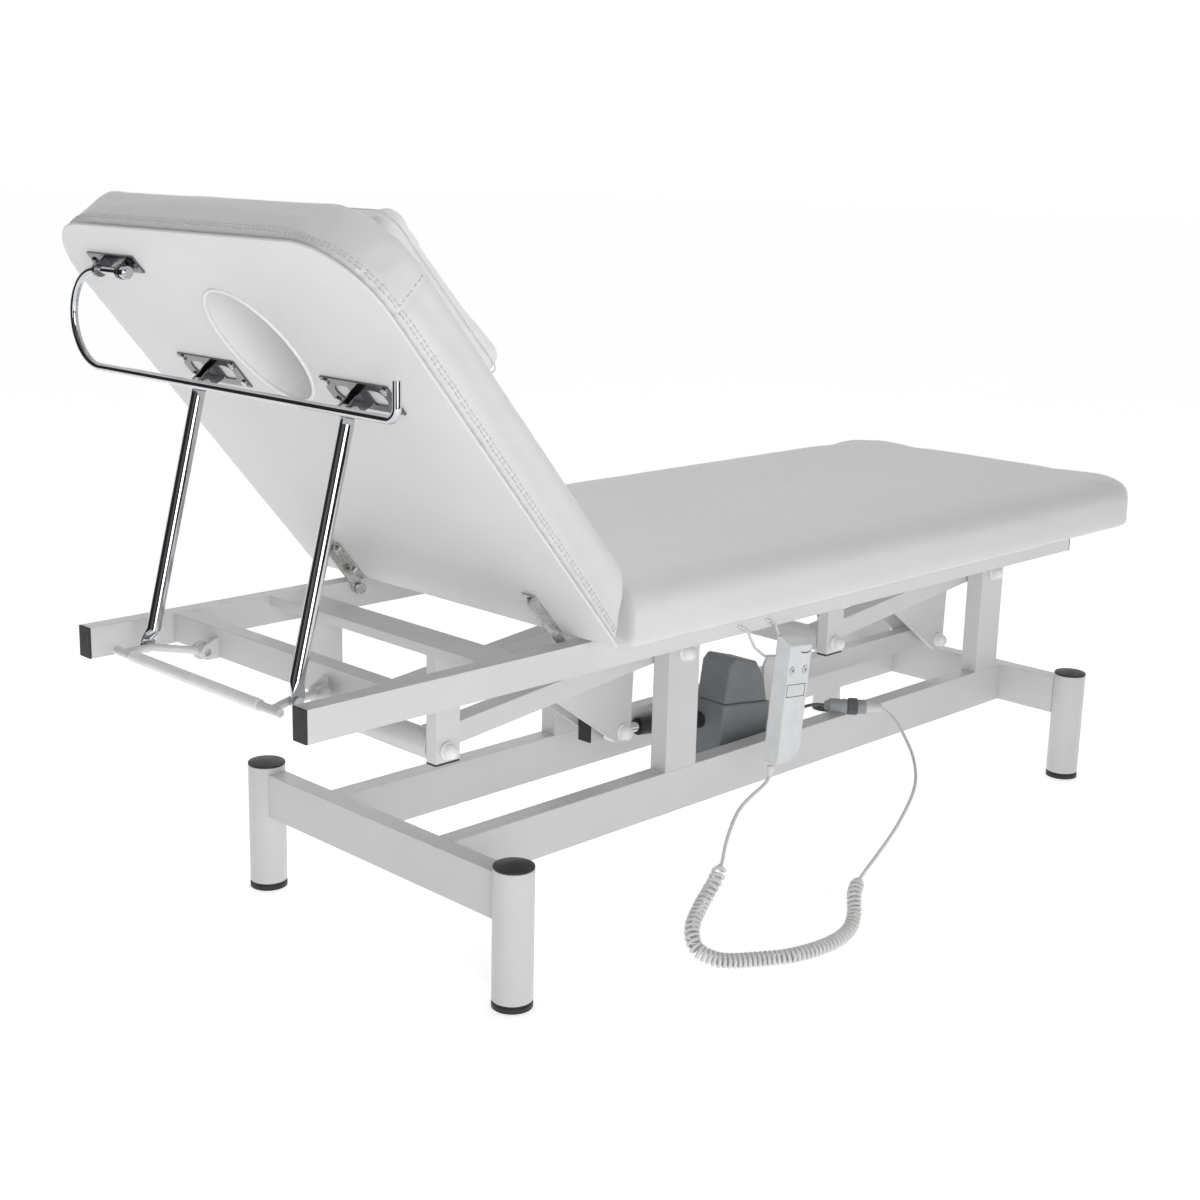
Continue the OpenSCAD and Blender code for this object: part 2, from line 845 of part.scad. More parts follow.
function back_point(p) = [
    hinge[0] - p[0] * cos(recline) + p[1] * sin(recline),
    hinge[1] + p[0] * sin(recline) + p[1] * cos(recline)
];

// Round tubes with an eye at the top and a flattened foot.
module struts() {
    top = back_point(strut_pin);
    run = strut_foot - top;
    length = norm(run);
    turn = atan2(run[0], run[1]);
    color("silver") on_centre() both_sides() translate([top[0], 0, top[1]])
        rotate([0, turn, 0]) difference() {
            union() {
                difference() {
                    translate([0, strut_y + 2, 8]) cylinder(h = length - 30, r = strut_d / 2);
                    translate([0, strut_y + 2, 20]) cylinder(h = length, r = strut_d / 2 - wall);
                    translate([-20, strut_y - 30, -5]) cube([40, 25, 21]);
                    translate([-20, strut_y + 5, -5]) cube([40, 25, 21]);
                }
                cross_pin(0, 0, strut_y - 5, strut_y + 5, 9);
                hull() {
                    translate([0, strut_y + 2, length - 23]) cylinder(h = 1, r = strut_d / 2);
                    translate([-strut_d / 2, strut_foot_y - 2, length - 9]) cube([strut_d, 4, 1]);
                }
                translate([-strut_d / 2, strut_foot_y - 2, length - 9])
                    cube([strut_d, 4, 9]);
                cross_pin(0, length, strut_foot_y - 2, strut_foot_y + 2, strut_d / 2);
            }
            cross_pin(0, 0, strut_y - 20, strut_y + 20, small_pin_r + run_gap);
            cross_pin(0, length, strut_foot_y - 4, strut_foot_y + 4, small_pin_r + run_gap);
        }
}

// Arms from the capped eyes beside the ears to the grip rod, with the strut pins.
module prop_lever_arms() {
    eye = [lever_pivot[0], 124, lever_pivot[1]];
    bend = [strut_foot[0], 151, strut_foot[1]];
    end = [grip_at[0], 160, grip_at[1]];
    color("white") on_centre() both_sides() {
        cross_pin(lever_pivot[0], lever_pivot[1], 119.5, 128, 9);
        translate([lever_pivot[0], 128, lever_pivot[1]]) rotate([-90, 0, 0]) dome_cap(12, 17);
        difference() {
            bent_wire([eye, bend, end], 5);
            cross_pin(grip_at[0], grip_at[1], 140, 180, grip_rod_r);
        }
        cross_pin(strut_foot[0], strut_foot[1], 151, strut_foot_y + 4, small_pin_r);
        cross_pin(strut_foot[0], strut_foot[1], strut_foot_y + 2.5, strut_foot_y + 6, 6);
    }
}

module prop_lever_rod() {
    color("white") on_centre() difference() {
        cross_pin(grip_at[0], grip_at[1], -grip_rod_half, grip_rod_half, grip_rod_r);
        for (side = [-1, 1]) cross_pin(grip_at[0], grip_at[1], side * grip_rod_half - 1,
            side * grip_rod_half + 1, 2);
    }
}

module prop_lever_grip() {
    color("whitesmoke") on_centre() difference() {
        cross_pin(grip_at[0], grip_at[1], -grip_half, grip_half, 7.5);
        cross_pin(grip_at[0], grip_at[1], -grip_half - 1, grip_half + 1, grip_rod_r);
    }
}

// Pin, half turn, straight bar and upturned end, in one bent rod with a clip on the pin.
module roll_bar() {
    pin = back_point(roll_pin);
    bar_z = pin[1] - 2 * bar_turn_r;
    color("silver") on_centre() translate([pin[0], 0, 0]) {
        cross_pin(0, pin[1], 138, bar_turn_y, bar_r);
        cross_pin(0, pin[1], 141, 149, 8);
        translate([0, bar_turn_y, pin[1] - bar_turn_r]) rotate([90, 0, 90])
            rotate([0, 0, -90]) rotate_extrude(angle = 180) translate([bar_turn_r, 0])
                circle(r = bar_r);
        cross_pin(0, bar_z, bar_far_y, bar_turn_y, bar_r);
        translate([0, bar_far_y, bar_z + bar_corner_r]) rotate([90, 0, 90])
            rotate([0, 0, 180]) rotate_extrude(angle = 90) translate([bar_corner_r, 0])
                circle(r = bar_r);
        translate([0, bar_far_y - bar_corner_r, bar_z + bar_corner_r])
            cylinder(h = bar_leg, r = bar_r);
    }
}

// ---- hand control ----

// Draws in the hand control's frame: z along it, its front face at y = 0.
module on_handset() {
    translate(handset_at + [0, mid_y, 0]) rotate([0, handset_lean, 0]) children();
}

module handset_hook() {
    left = [
        [-143, -frame_half, 421], [-141, hook_y, 420], [-125, hook_y, 411],
        [-108, hook_y, 384], [-85, hook_y, 368], [-60, hook_y, 364]
    ];
    right = [
        [-82, -frame_half, 421], [-80, hook_y, 420], [-65, hook_y, 411],
        [-57, hook_y, 396], [-54, hook_y, 380]
    ];
    color("silver") on_centre() difference() {
        union() {
            bent_wire(left, hook_r);
            bent_wire(right, hook_r);
        }
        translate([-200, -frame_half, 400]) cube([200, 10, 40]);
    }
}

module handset_body() {
    w = handset_w / 2;
    h = handset_half;
    color("white") on_handset() difference() {
        upright(0, handset_t) polygon([
            [-w, -h - 2], [2, -h], [w - 4, -h + 10], [w, -h + 20], [w, h + 8], [-w, h + 10]
        ]);
        translate([-w - 1, 0, h]) rotate([-60, 0, 0]) translate([0, -40, 0])
            cube([2 * w + 2, 40, 40]);
        for (side = [-1, 1])
            cross_pin(side * button_x, button_z, -1, button_deep, button_r + 0.4);
    }
}

module handset_key(side) {
    on_handset() cross_pin(side * button_x, button_z, -button_out, button_deep - 1.2, button_r);
}

module handset_key_up() {
    color("gainsboro") handset_key(-1);
}

module handset_key_down() {
    color("gainsboro") handset_key(1);
}

// Tapered sleeve at the foot of the hand control.
module handset_strain_relief() {
    color("white") on_centre() translate([-79, -262, 190]) rotate([0, 8, 0])
        cylinder(h = 16, r1 = 3.6, r2 = 5.5);
}

// ---- cord ----

module cord_lead() {
    color("white") cord_tube(lead_route, lead_r, 15, 10);
}

module cord_coil() {
    color("white") cord_tube(coil_route, coil_d / 2, 40, 12);
}

module cord_base_lead() {
    color("white") cord_tube(base_lead_route, lead_r, 16, 10);
}

// Two mated halves with a coupling ring, lying on the near base rail.
module cord_connector() {
    run = plug_to - plug_from;
    color("gray") on_centre() translate(plug_from) rotate([0, 90, atan2(run[1], run[0])])
        for (s = plug_steps) translate([0, 0, s[0]]) cylinder(h = s[1], r1 = s[2], r2 = s[3]);
}

module motor_lead() {
    color("dimgray") cord_tube(motor_lead_route, lead_r, 16, 10);
}

base_long_rails();
base_cross_rails();
foot_columns();
foot_top_caps();
floor_feet();
base_posts();
base_pivot_bolts();
actuator_crossbar();
rear_bracket();
rear_bracket_bolt();
cable_gland();
head_lift_arms();
head_lift_tubes();
head_lever_plates();
head_lever_bolt();
foot_lift_arms();
foot_lift_tubes();
foot_lever_plates();
foot_lever_bolt();
link_tube();
link_tube_caps();
actuator_gearbox();
actuator_motor();
actuator_cylinder();
actuator_rod();
bed_side_rails();
bed_rail_caps();
bed_cross_members();
hanging_posts();
hanging_post_caps();
bed_pivot_bolts();
lever_ears();
backrest_hinge_bolts();
seat_board();
seat_cushion();
back_board();
back_cushion();
hinge_straps();
strap_bolts();
strut_brackets();
strut_bracket_screws();
strut_pins();
roll_bracket();
pillow();
struts();
prop_lever_arms();
prop_lever_rod();
prop_lever_grip();
roll_bar();
handset_hook();
handset_body();
handset_key_up();
handset_key_down();
handset_strain_relief();
cord_lead();
cord_coil();
cord_base_lead();
cord_connector();
motor_lead();
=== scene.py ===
"""Facial treatment bed: upholstery, cords, stitching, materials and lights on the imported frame."""
import math

import bmesh
import bpy
from mathutils import Matrix, Vector, noise
from mathutils.bvhtree import BVHTree


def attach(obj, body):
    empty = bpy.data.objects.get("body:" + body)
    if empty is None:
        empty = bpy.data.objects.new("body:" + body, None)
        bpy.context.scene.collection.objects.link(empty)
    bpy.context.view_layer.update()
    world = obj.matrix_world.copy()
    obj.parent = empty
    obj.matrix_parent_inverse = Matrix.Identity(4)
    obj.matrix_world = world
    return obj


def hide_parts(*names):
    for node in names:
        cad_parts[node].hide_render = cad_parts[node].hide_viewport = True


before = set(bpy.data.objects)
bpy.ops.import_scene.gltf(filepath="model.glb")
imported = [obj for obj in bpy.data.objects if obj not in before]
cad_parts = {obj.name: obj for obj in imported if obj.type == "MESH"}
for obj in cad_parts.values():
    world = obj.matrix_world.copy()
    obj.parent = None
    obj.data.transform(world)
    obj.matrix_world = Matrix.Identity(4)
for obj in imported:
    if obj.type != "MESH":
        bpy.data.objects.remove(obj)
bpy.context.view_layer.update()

MID_Y = 0.028  # the bed's centreline


# ---- camera ----

CAMERA_AT = Vector((-2.0156, -1.7774, 1.0524))
YAW, PITCH, ROLL = 0.77472, -0.24133, 0.02502
LENS_MM = 53.834


def add_camera():
    ahead = Vector((math.cos(YAW) * math.cos(PITCH), math.sin(YAW) * math.cos(PITCH),
                    math.sin(PITCH)))
    level = Vector((math.sin(YAW), -math.cos(YAW), 0))
    up = level.cross(ahead)
    right = math.cos(ROLL) * level + math.sin(ROLL) * up
    top = math.cos(ROLL) * up - math.sin(ROLL) * level
    camera = bpy.data.objects.new("camera", bpy.data.cameras.new("camera"))
    camera.data.lens = LENS_MM
    camera.data.sensor_width = 36
    camera.matrix_world = Matrix.Translation(CAMERA_AT) @ Matrix(
        (right, top, -ahead)).transposed().to_4x4()
    bpy.context.collection.objects.link(camera)
    bpy.context.scene.camera = camera


add_camera()


# ---- materials ----

class Shader:
    """A principled material with a few procedural inputs, in the piece's own metres."""

    def __init__(self, name, colour, **inputs):
        self.material = bpy.data.materials.new(name)
        self.material.use_nodes = True
        self.material.diffuse_color = (*colour, 1)
        self.tree = self.material.node_tree
        self.principled = self.tree.nodes["Principled BSDF"]
        self.principled.inputs["Base Color"].default_value = (*colour, 1)
        self.colour = colour
        for key, value in inputs.items():
            self.principled.inputs[key.replace("_", " ")].default_value = value
        self.coordinates = self.add("ShaderNodeTexCoord").outputs["Object"]
        self.bumped = None

    def add(self, kind, **settings):
        node = self.tree.nodes.new(kind)
        for key, value in settings.items():
            setattr(node, key, value)
        return node

    def link(self, source, target):
        self.tree.links.new(source, target)

    def stretched(self, scale):
        mapping = self.add("ShaderNodeMapping")
        mapping.inputs["Scale"].default_value = scale
        self.link(self.coordinates, mapping.inputs["Vector"])
        return mapping.outputs["Vector"]

    def noise(self, scale, detail, vector=None):
        node = self.add("ShaderNodeTexNoise")
        node.inputs["Scale"].default_value = scale
        node.inputs["Detail"].default_value = detail
        self.link(vector or self.coordinates, node.inputs["Vector"])
        return node.outputs["Fac"]

    def cells(self, scale, feature="F1"):
        node = self.add("ShaderNodeTexVoronoi", feature=feature)
        node.inputs["Scale"].default_value = scale
        self.link(self.coordinates, node.inputs["Vector"])
        return node.outputs["Distance"]

    def ranged(self, source, low, high, from_low=0.3, from_high=0.7):
        node = self.add("ShaderNodeMapRange")
        for key, value in (("From Min", from_low), ("From Max", from_high),
                           ("To Min", low), ("To Max", high)):
            node.inputs[key].default_value = value
        self.link(source, node.inputs["Value"])
        return node.outputs["Result"]

    def mottle(self, source, shade, from_low=0.35, from_high=0.65):
        """The base colour fades to its shade where the source is low."""
        mix = self.add("ShaderNodeMix", data_type="RGBA")
        mix.inputs["A"].default_value = (*(c * shade for c in self.colour), 1)
        mix.inputs["B"].default_value = (*self.colour, 1)
        self.link(self.ranged(source, 0, 1, from_low, from_high), mix.inputs["Factor"])
        self.link(mix.outputs["Result"], self.principled.inputs["Base Color"])
        return self

    def rough(self, source, low, high):
        self.link(self.ranged(source, low, high), self.principled.inputs["Roughness"])
        return self

    def bump(self, source, strength, depth):
        node = self.add("ShaderNodeBump")
        node.inputs["Strength"].default_value = strength
        node.inputs["Distance"].default_value = depth
        self.link(source, node.inputs["Height"])
        if self.bumped:
            self.link(self.bumped, node.inputs["Normal"])
        self.bumped = node.outputs["Normal"]
        self.link(self.bumped, self.principled.inputs["Normal"])
        return self


def powder_coat(name, colour):
    """Baked powder paint: fine orange peel and slightly uneven gloss."""
    s = Shader(name, colour, Coat_Weight=0.12, Coat_Roughness=0.25)
    peel = s.noise(420, 2)
    return s.mottle(s.noise(7, 4), 0.965).rough(s.noise(30, 3), 0.30, 0.42) \
            .bump(peel, 0.12, 0.0004).material


def moulded(name, colour, low, high, grain=1500, strength=0.15):
    """Moulded plastic with a spark-eroded grain."""
    s = Shader(name, colour)
    return s.mottle(s.noise(40, 3), 0.93).rough(s.noise(60, 3), low, high) \
            .bump(s.noise(grain, 2), strength, 0.0003).material


def leather(name, colour):
    """Coated leather cloth: pebbled grain, creases between the pebbles and a slack surface."""
    s = Shader(name, colour, Specular_IOR_Level=0.3, Sheen_Weight=0.04)
    pebbles = s.cells(950, "DISTANCE_TO_EDGE")
    return s.mottle(s.noise(5, 4), 0.97).rough(s.noise(220, 3), 0.36, 0.5) \
            .bump(s.noise(9, 4), 0.35, 0.004) \
            .bump(s.noise(85, 3), 0.10, 0.001) \
            .bump(s.ranged(pebbles, 0, 1, 0, 0.12), 0.16, 0.0003).material


def plated(name, colour, low, high):
    """Bright plating with fine polishing marks along its length."""
    s = Shader(name, colour, Metallic=1.0)
    marks = s.noise(1.0, 3, vector=s.stretched((900, 900, 60)))
    return s.mottle(s.noise(18, 3), 0.93).rough(marks, low, high).bump(marks, 0.02, 0.0001).material


def galvanised(name, colour):
    s = Shader(name, colour, Metallic=1.0)
    return s.mottle(s.cells(260), 0.75, 0.1, 0.6) \
            .rough(s.noise(300, 3), 0.22, 0.42).bump(s.noise(700, 2), 0.06, 0.0002).material


def plywood(name, colour):
    s = Shader(name, colour, Roughness=0.7)
    grain = s.noise(1.0, 5, vector=s.stretched((4, 90, 90)))
    return s.mottle(grain, 0.7).bump(grain, 0.2, 0.0005).material


FINISHES = {
    "white_steel": powder_coat("white_steel", (0.63, 0.63, 0.63)),
    "white_cap": moulded("white_cap", (0.84, 0.84, 0.83), 0.30, 0.42, 900, 0.08),
    "black_plastic": moulded("black_plastic", (0.020, 0.020, 0.021), 0.42, 0.58),
    "chrome": plated("chrome", (0.60, 0.61, 0.63), 0.035, 0.10),
    "dark_steel": plated("dark_steel", (0.20, 0.20, 0.21), 0.12, 0.24),
    "zinc": galvanised("zinc", (0.62, 0.62, 0.61)),
    "leatherette": leather("leatherette", (0.69, 0.69, 0.69)),
    "pillow": leather("pillow_leather", (0.80, 0.80, 0.80)),
    "board": plywood("board", (0.45, 0.33, 0.20)),
    "motor_grey": moulded("motor_grey", (0.18, 0.19, 0.20), 0.40, 0.55, 1100, 0.25),
    "handset_white": moulded("handset_white", (0.70, 0.71, 0.72), 0.30, 0.42, 1800, 0.10),
    "key_grey": moulded("key_grey", (0.62, 0.63, 0.64), 0.38, 0.5),
    "cord_white": moulded("cord_white", (0.72, 0.72, 0.71), 0.36, 0.48, 700, 0.10),
    "connector_grey": moulded("connector_grey", (0.30, 0.31, 0.32), 0.35, 0.5),
    "cord_dark": moulded("cord_dark", (0.10, 0.10, 0.105), 0.40, 0.5),
}
# The face hole's liner is the cushions' leather made paler: painted light that brightens the shade
# inside the hole.
LINER_PAINTED_LIGHT = leather("liner_leather_painted_light", (0.88, 0.88, 0.88))
THREAD = moulded("thread", (0.60, 0.60, 0.59), 0.6, 0.8, 3000, 0.3)
PRINT = moulded("print", (0.06, 0.06, 0.065), 0.5, 0.6)


def dress(obj, slot_name, finish=None):
    obj.data.materials.clear()
    obj.data.materials.append(finish or FINISHES[slot_name])


# ---- making pieces ----

def add_mesh(name, vertices, faces, smooth=True):
    mesh = bpy.data.meshes.new(name)
    mesh.from_pydata([tuple(v) for v in vertices], [], faces)
    mesh.validate()
    bm = bmesh.new()
    bm.from_mesh(mesh)
    bmesh.ops.recalc_face_normals(bm, faces=bm.faces)
    bm.to_mesh(mesh)
    bm.free()
    if smooth:
        mesh.shade_smooth()
    obj = bpy.data.objects.new(name, mesh)
    bpy.context.collection.objects.link(obj)
    return obj


def add_curve(name, points, radius):
    data = bpy.data.curves.new(name, "CURVE")
    data.dimensions = "3D"
    data.bevel_depth = radius
    data.bevel_resolution = 3
    data.use_fill_caps = True
    spline = data.splines.new("POLY")
    spline.points.add(len(points) - 1)
    for slot_point, point in zip(spline.points, points):
        slot_point.co = (*point, 1)
    spline.use_smooth = True
    obj = bpy.data.objects.new(name, data)
    bpy.context.collection.objects.link(obj)
    return obj


def smooth_route(points, step=0.004):
    """A Catmull-Rom line through the points, at an even spacing."""
    ends = [2 * points[0] - points[1]] + points + [2 * points[-1] - points[-2]]
    fine = []
    for a, b, c, d in zip(ends, ends[1:], ends[2:], ends[3:]):
        for i in range(24):
            t = i / 24
            fine.append(0.5 * (2 * b + (c - a) * t + (2 * a - 5 * b + 4 * c - d) * t * t
                               + (3 * b - a - 3 * c + d) * t ** 3))
    return spaced(fine + [points[-1]], step)


def spaced(line, step):
    """The same line with points a step apart, or as near to that as divides it evenly."""
    lengths = [0.0]
    for a, b in zip(line, line[1:]):
        lengths.append(lengths[-1] + (b - a).length)
    count = max(2, round(lengths[-1] / step))
    out, k = [], 0
    for i in range(count + 1):
        want = lengths[-1] * i / count
        while k < len(line) - 2 and lengths[k + 1] < want:
            k += 1
        span = max(lengths[k + 1] - lengths[k], 1e-9)
        out.append(line[k].lerp(line[k + 1], (want - lengths[k]) / span))
    return out


def length_of(line):
    return sum((b - a).length for a, b in zip(line, line[1:]))


def metres(points):
    return [Vector((x, y, z)) / 1000 + Vector((0, MID_Y, 0)) for x, y, z in points]


# ---- cords ----

CABLE = 0.0052
COIL_RADIUS = 0.0083
PITCH_CLOSE, PITCH_OPEN = 0.0072, 0.0120
OPEN_LENGTH = 0.085
TAPER = 0.014
TURN_POINTS = 16

lead_route = metres([
    (-79, -262, 190), (-92, -264, 181), (-131, -270, 172), (-161, -277, 164),
    (-186, -286, 152), (-212, -297, 132), (-232, -308, 110)])
coil_route = metres([
    (-233, -308.6, 109), (-256, -317, 94), (-297, -328, 72), (-326, -340, 55),
    (-338, -355, 39), (-333, -368, 27), (-310, -387, 17), (-258, -412, 12),
    (-218, -432, 12), (-158, -442, 12), (-110, -438, 15), (-81, -427, 27),
    (-60, -410, 48), (-34, -399, 60)])
base_lead_route = metres([
    (-34, -399, 60), (-10, -393, 67), (30, -384, 78), (116, -358, 97),
    (216, -314, 116), (270, -273, 138), (304, -228, 161), (315, -197, 181),
    (313, -176, 191)])
motor_route = metres([
    (253.7, -103.7, 193), (244, -92, 193), (228, -84, 191), (205, -81, 187), (182, -80, 179),
    (168, -79, 168)])
PLUG_FROM, PLUG_TO = metres([(313, -176, 193), (249, -98, 193)])


def coiled(route):
    """A helix about the route: open at its first end, close after it, and drawn in at both."""
    line = smooth_route(route, 0.0005)
    total = length_of(line)
    step = total / (len(line) - 1)
    out, turn, side, since = [], 0.0, Vector((0, 0, 1)), 1.0
    for i, point in enumerate(line):
        ahead = (line[min(i + 1, len(line) - 1)] - line[max(i - 1, 0)]).normalized()
        side = (side - side.dot(ahead) * ahead).normalized()
        along = i * step
        openness = max(0.0, 1 - along / OPEN_LENGTH)
        pitch = PITCH_CLOSE + (PITCH_OPEN - PITCH_CLOSE) * openness
        since += TURN_POINTS * step / pitch
        turn += 2 * math.pi * step / pitch
        drawn = min(1.0, along / TAPER, (total - along) / TAPER)
        radius = COIL_RADIUS * math.sin(drawn * math.pi / 2)
        if since >= 1:
            since -= 1
            out.append(point + radius * (math.cos(turn) * side
                                         + math.sin(turn) * ahead.cross(side)))
    return out


def cord_piece(name, line, body, slot_name, nodes):
    obj = add_curve(name, line, CABLE / 2)
    dress(obj, slot_name)
    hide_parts(*nodes)
    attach(obj, body)
    return obj


lead = smooth_route(lead_route)
coil = coiled(coil_route)
handset_lead = cord_piece("handset_lead", lead, "bed_frame", "cord_white", ["cord_lead"])
coil_cord = cord_piece("coil_cord", coil + smooth_route(base_lead_route)[2:], "base",
                       "cord_white", ["cord_coil", "cord_base_lead"])
motor_cord = cord_piece("motor_cord", smooth_route(motor_route), "base", "cord_dark",
                        ["motor_lead"])


def lathed(name, profile, start, axis, ribs=0, depth=0.0, sides=72):
    """A turned piece of (along, radius) rings, fluted where ribs is given."""
    side = axis.orthogonal().normalized()
    other = axis.cross(side)
    vertices, faces = [start + axis * profile[0][0]], []
    for along, radius in profile:
        for k in range(sides):
            t = 2 * math.pi * k / sides
            r = radius - (depth * max(0.0, math.cos(ribs * t)) if ribs else 0)
            vertices.append(start + axis * along + r * (math.cos(t) * side + math.sin(t) * other))
    vertices.append(start + axis * profile[-1][0])
    for i in range(len(profile) - 1):
        for k in range(sides):
            a, b = 1 + i * sides + k, 1 + i * sides + (k + 1) % sides
            faces.append([a, b, b + sides, a + sides])
    last = 1 + (len(profile) - 1) * sides
    for k in range(sides):
        j = (k + 1) % sides
        faces.append([0, 1 + j, 1 + k])
        faces.append([len(vertices) - 1, last + k, last + j])
    obj = add_mesh(name, vertices, faces)
    obj.modifiers.new("crisp edges", "EDGE_SPLIT").split_angle = math.radians(38)
    return obj


def make_connector():
    """The in-line connector: a grooved boot, a fluted ring and a stepped body."""
    axis = (PLUG_TO - PLUG_FROM).normalized()
    grooves = []
    for i in range(6):
        at, size = 0.001 + 0.004 * i, 0.0064 + 0.0006 * i
        grooves += [(at, size), (at + 0.0024, size + 0.0004), (at + 0.0026, size - 0.0009),
                    (at + 0.0038, size - 0.0008)]
    boot = lathed("connector_boot", [(0, 0.0055)] + grooves + [(0.026, 0.0096)], PLUG_FROM, axis)
    ring = lathed("connector_ring", [(0.0402, 0.0122), (0.0412, 0.0138), (0.0550, 0.0138),
                                     (0.0560, 0.0122)], PLUG_FROM, axis, 24, 0.0009, 144)
    body = lathed("connector_body", [
        (0.0258, 0.0104), (0.0268, 0.0118), (0.0390, 0.0118), (0.0400, 0.0108), (0.0565, 0.0108),
        (0.0570, 0.0118), (0.0660, 0.0118), (0.0664, 0.0112), (0.0684, 0.0112), (0.0688, 0.0118),
        (0.0850, 0.0118), (0.0860, 0.0100), (0.0900, 0.0082), (0.0940, 0.0062)], PLUG_FROM, axis)
    dress(boot, "cord_white")
    dress(ring, "cord_dark")
    dress(body, "connector_grey")
    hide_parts("cord_connector")
    for piece in (boot, ring, body):
        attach(piece, "base")
    return [boot, ring, body]


CONNECTOR = make_connector()

length_of(coil + smooth_route(base_lead_route)[2:])
length_of(smooth_route(motor_route))


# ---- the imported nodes: rounded edges and real finishes ----

EDGE_ROUND = {
    "white_steel": 0.0016, "chrome": 0.0004, "zinc": 0.0003, "white_cap": 0.0006,
    "black_plastic": 0.0008, "dark_steel": 0.0005, "motor_grey": 0.004, "handset_white": 0.0014,
    "key_grey": 0.0003, "connector_grey": 0.0006,
}


def finish_nodes():
    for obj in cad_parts.values():
        names = [slot.material.name for slot in obj.material_slots]
        for slot, name in zip(obj.material_slots, names):
            slot.material = FINISHES[name]
        if names[0] in EDGE_ROUND:
            weld = obj.modifiers.new("weld", "WELD")
            weld.merge_threshold = 0.00002
            whole = obj.modifiers.new("whole faces", "DECIMATE")
            whole.decimate_type = "DISSOLVE"
            whole.angle_limit = math.radians(0.3)
            bevel = obj.modifiers.new("rounded edges", "BEVEL")
            bevel.width = EDGE_ROUND[names[0]]
            bevel.segments = 3 if names[0] != "white_cap" else 1
            bevel.limit_method = "ANGLE"
            bevel.angle_limit = math.radians(40)
            even = obj.modifiers.new("flat faces", "WEIGHTED_NORMAL")
            even.weight = 100
        obj.data.shade_smooth()


finish_nodes()


# ---- upholstery ----

HINGE = Vector((-0.455, MID_Y, 0.440))
RECLINE = math.radians(49.8)
ALONG = Vector((-math.cos(RECLINE), 0, math.sin(RECLINE)))
ACROSS = Vector((0, -1, 0))
OUT = Vector((math.sin(RECLINE), 0, math.cos(RECLINE)))
SEAT_GAP = 0.022
SIDE_POINTS, CORNER_POINTS, HOLE_POINTS = 48, 16, 96  # of an outline
ROUND_RINGS = 6  # up each rounded side of a cushion
SIM_FRAMES = 20
PRESSURE = 4.0


def on_back(u, y, v):
    """A point of the backrest: along it, across it towards -Y, and square to it."""
    return HINGE + u * ALONG + y * ACROSS + v * OUT


def on_seat(x, y, z):
    return Vector((x, y + MID_Y, z))


def panel(x0, x1, half, corner):
    """A rectangle's outline whose two corners at x1 are rounded, anticlockwise from x0's corner."""
    turn = [(x1 - corner + corner * math.sin(a), -half + corner * (1 - math.cos(a)))
            for a in (math.pi / 2 * i / CORNER_POINTS for i in range(CORNER_POINTS + 1))]
    return (straight((x0, -half), turn[0]) + turn[:-1]
            + straight(turn[-1], (turn[-1][0], -turn[-1][1]))
            + [(x, -y) for x, y in reversed(turn)][:-1]
            + straight((turn[0][0], half), (x0, half))
            + straight((x0, half), (x0, -half)))


def straight(a, b):
    return [(a[0] + (b[0] - a[0]) * i / SIDE_POINTS, a[1] + (b[1] - a[1]) * i / SIDE_POINTS)
            for i in range(SIDE_POINTS)]


def ellipse(centre, a, b):
    return [(centre + a * math.cos(t), b * math.sin(t))
            for t in (2 * math.pi * i / HOLE_POINTS for i in range(HOLE_POINTS))]


def slab(name, rings, place, holes=()):
    """A closed form through rings of (outline, height), with a wall round each hole."""
    vertices, faces = [], []

    def wall(loops, flip):
        starts = []
        for outline, height in loops:
            starts.append(len(vertices))
            vertices.extend(place(x, y, height) for x, y in outline)
        count = len(loops[0][0])
        for a, b in zip(starts, starts[1:]):
            for i in range(count):
                j = (i + 1) % count
                quad = [a + i, a + j, b + j, b + i]
                faces.append(quad[::-1] if flip else quad)
        return starts[0], starts[-1], count

    walls = [wall(rings, False)] + [wall(hole, True) for hole in holes]
    bm = bmesh.new()
    made = [bm.verts.new(v) for v in vertices]
    for face in faces:
        bm.faces.new([made[i] for i in face])
    for end in (0, 1):
        edges = [bm.edges.get((made[w[end] + i], made[w[end] + (i + 1) % w[2]]))
                 for w in walls for i in range(w[2])]
        bmesh.ops.triangle_fill(bm, use_beauty=True, use_dissolve=False, edges=edges)
    bmesh.ops.recalc_face_normals(bm, faces=bm.faces)
    mesh = bpy.data.meshes.new(name)
    bm.to_mesh(mesh)
    bm.free()
    mesh.shade_smooth()
    obj = bpy.data.objects.new(name, mesh)
    bpy.context.collection.objects.link(obj)
    return obj


def evaluated_mesh(obj):
    graph = bpy.context.evaluated_depsgraph_get()
    return bpy.data.meshes.new_from_object(obj.evaluated_get(graph), depsgraph=graph)


def bake_modifiers(obj):
    mesh = evaluated_mesh(obj)
    mesh.name = obj.name
    obj.modifiers.clear()
    obj.data = mesh
    mesh.shade_smooth()


def relaxed(obj, turns):
    """Evens out the mesh, and takes out the creases that foam wouldn't hold."""
    relax = obj.modifiers.new("relax", "SMOOTH")
    relax.factor = 0.5
    relax.iterations = turns
    bake_modifiers(obj)


def remeshed(obj, voxel):
    remesh = obj.modifiers.new("even mesh", "REMESH")
    remesh.mode = "VOXEL"
    remesh.voxel_size = voxel
    relaxed(obj, 3)


